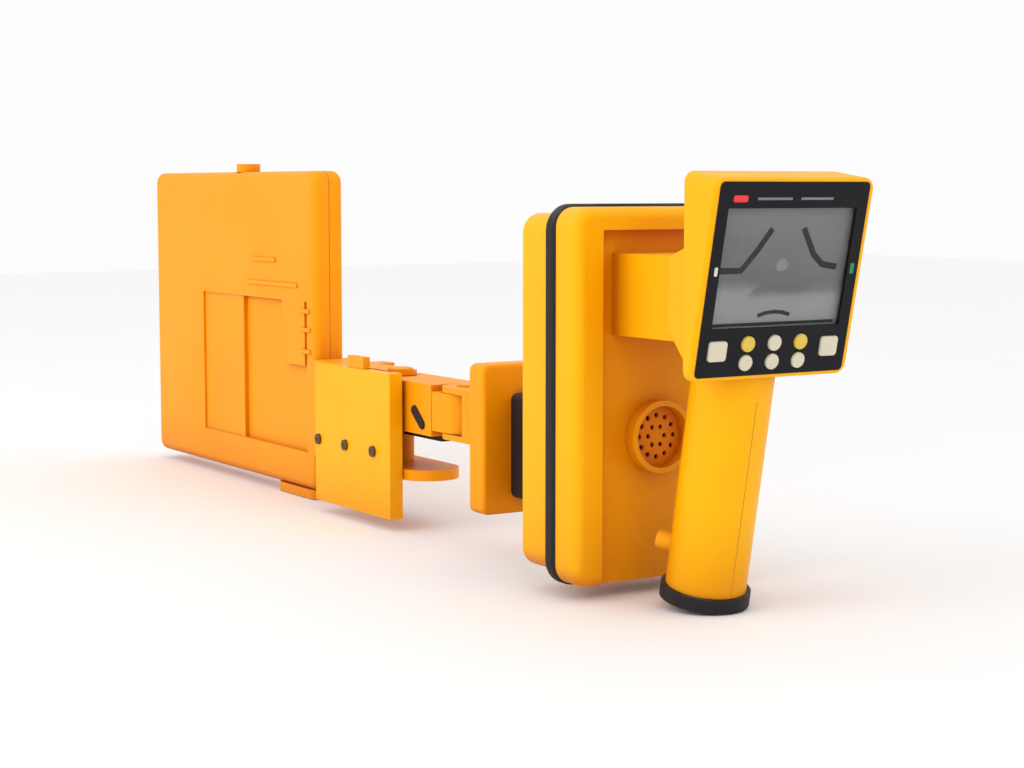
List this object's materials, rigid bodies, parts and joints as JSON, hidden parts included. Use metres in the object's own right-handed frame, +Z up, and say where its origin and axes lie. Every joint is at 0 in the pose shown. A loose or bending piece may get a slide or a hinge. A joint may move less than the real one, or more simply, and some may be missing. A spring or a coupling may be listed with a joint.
{
  "type": "folding locator receiver",
  "caption": "Hand-held electronic locator: flat antenna paddle on a two-pin fold link, boxy sensor housing, leaning pistol grip and tilted display head with keys.",
  "frame": {"origin": "on the floor plane under the middle of the open tool", "axes": "+X along the open tool from the antenna paddle to the display, +Y the side the paddle folds to, +Z up"},
  "size_m": [0.7969, 0.1188, 0.2405],
  "materials": {
    "yellow_shell": "fine-textured moulded plastic, bright yellow-orange",
    "orange_shell": "fine-textured moulded plastic, deeper orange",
    "black_rubber": "moulded soft rubber",
    "black_bezel": "satin black overlay film",
    "key_cream": "satin silicone keys",
    "lens_clear": "clear flat window",
    "display_grey": "grey liquid-crystal panel",
    "steel": "machined steel",
    "bronze": "sintered bronze bush",
    "copper_winding": "enamelled copper winding",
    "ferrite": "pressed ferrite",
    "board_green": "circuit board",
    "cell_wrap": "plain cell sleeve"
  },
  "bodies": {
    "housing": {"battery_cage": "black_bezel", "battery_cells": "cell_wrap", "battery_contact": "steel", "display_bezel": "black_bezel", "display_lens": "lens_clear", "display_module": "display_grey", "grip_shell": "yellow_shell", "head_board": "board_green", "head_front": "yellow_shell", "head_rear": "yellow_shell", "hinge_bracket": "orange_shell", "housing_ferrite_rod": "ferrite", "housing_front_shell": "yellow_shell", "housing_hinge_pin": "steel", "housing_loop_coil": "copper_winding", "housing_rear_shell": "yellow_shell", "housing_rod_coil": "copper_winding", "housing_screws": "steel", "housing_seal": "black_rubber", "keypad_mat": "key_cream", "main_board": "board_green", "neck_clamp_plate": "steel", "neck_sleeve": "black_rubber", "speaker": "black_bezel", "speaker_grille": "orange_shell", "strap_stud": "yellow_shell"},
    "link": {"fold_link": "orange_shell", "antenna_pin_bush": "bronze", "housing_pin_bush": "bronze", "link_buffer": "black_rubber"},
    "paddle": {"paddle_board": "board_green", "paddle_far_shell": "orange_shell", "paddle_ferrite_rod": "ferrite", "paddle_foot": "orange_shell", "paddle_loop_coil": "copper_winding", "paddle_near_shell": "orange_shell", "paddle_rod_coil": "copper_winding", "paddle_screws": "steel", "paddle_top_plug": "orange_shell", "hinge_yoke": "orange_shell", "cheek_plate": "yellow_shell", "cheek_plate_screws": "steel", "antenna_hinge_pin": "steel", "pin_boot": "orange_shell"},
    "release": {"release_button": "orange_shell"},
    "end_cap": {"grip_end_cap": "black_rubber"},
    "key_round_1": {"key_round_1": "key_cream"},
    "key_round_2": {"key_round_2": "key_cream"},
    "key_round_3": {"key_round_3": "key_cream"},
    "key_round_4": {"key_round_4": "key_cream"},
    "key_round_5": {"key_round_5": "key_cream"},
    "key_round_6": {"key_round_6": "key_cream"},
    "key_side_left": {"key_side_left": "key_cream"},
    "key_side_right": {"key_side_right": "key_cream"}
  },
  "joints": [
    {"name": "link_fold", "type": "hinge", "parent": "housing", "child": "link", "pos_m": [0.08539, 0, 0.0815], "axis": [0, 0, -1], "range_deg": [0, 90]},
    {"name": "paddle_fold", "type": "hinge", "parent": "link", "child": "paddle", "pos_m": [-0.00551, 0, 0.0815], "axis": [0, 0, -1], "range_deg": [0, 90]},
    {"name": "release_press", "type": "slide", "parent": "paddle", "child": "release", "axis": [0, 0, -1], "range_m": [0, 0.0025], "stiffness_N_per_m": 600, "springref_m": -0.001},
    {"name": "end_cap_turn", "type": "hinge", "parent": "housing", "child": "end_cap", "pos_m": [0.32609, 0, 0.00443], "axis": [0.184, 0, 0.9829], "range_deg": [0, 90]},
    {"name": "key_round_1_press", "type": "slide", "parent": "housing", "child": "key_round_1", "axis": [-0.9785, 0, 0.2062], "range_m": [0, 0.001], "stiffness_N_per_m": 500, "springref_m": -0.0006},
    {"name": "key_round_2_press", "type": "slide", "parent": "housing", "child": "key_round_2", "axis": [-0.9785, 0, 0.2062], "range_m": [0, 0.001], "stiffness_N_per_m": 500, "springref_m": -0.0006},
    {"name": "key_round_3_press", "type": "slide", "parent": "housing", "child": "key_round_3", "axis": [-0.9785, 0, 0.2062], "range_m": [0, 0.001], "stiffness_N_per_m": 500, "springref_m": -0.0006},
    {"name": "key_round_4_press", "type": "slide", "parent": "housing", "child": "key_round_4", "axis": [-0.9785, 0, 0.2062], "range_m": [0, 0.001], "stiffness_N_per_m": 500, "springref_m": -0.0006},
    {"name": "key_round_5_press", "type": "slide", "parent": "housing", "child": "key_round_5", "axis": [-0.9785, 0, 0.2062], "range_m": [0, 0.001], "stiffness_N_per_m": 500, "springref_m": -0.0006},
    {"name": "key_round_6_press", "type": "slide", "parent": "housing", "child": "key_round_6", "axis": [-0.9785, 0, 0.2062], "range_m": [0, 0.001], "stiffness_N_per_m": 500, "springref_m": -0.0006},
    {"name": "key_side_left_press", "type": "slide", "parent": "housing", "child": "key_side_left", "axis": [-0.9785, 0, 0.2062], "range_m": [0, 0.001], "stiffness_N_per_m": 500, "springref_m": -0.0006},
    {"name": "key_side_right_press", "type": "slide", "parent": "housing", "child": "key_side_right", "axis": [-0.9785, 0, 0.2062], "range_m": [0, 0.001], "stiffness_N_per_m": 500, "springref_m": -0.0006}
  ]
}
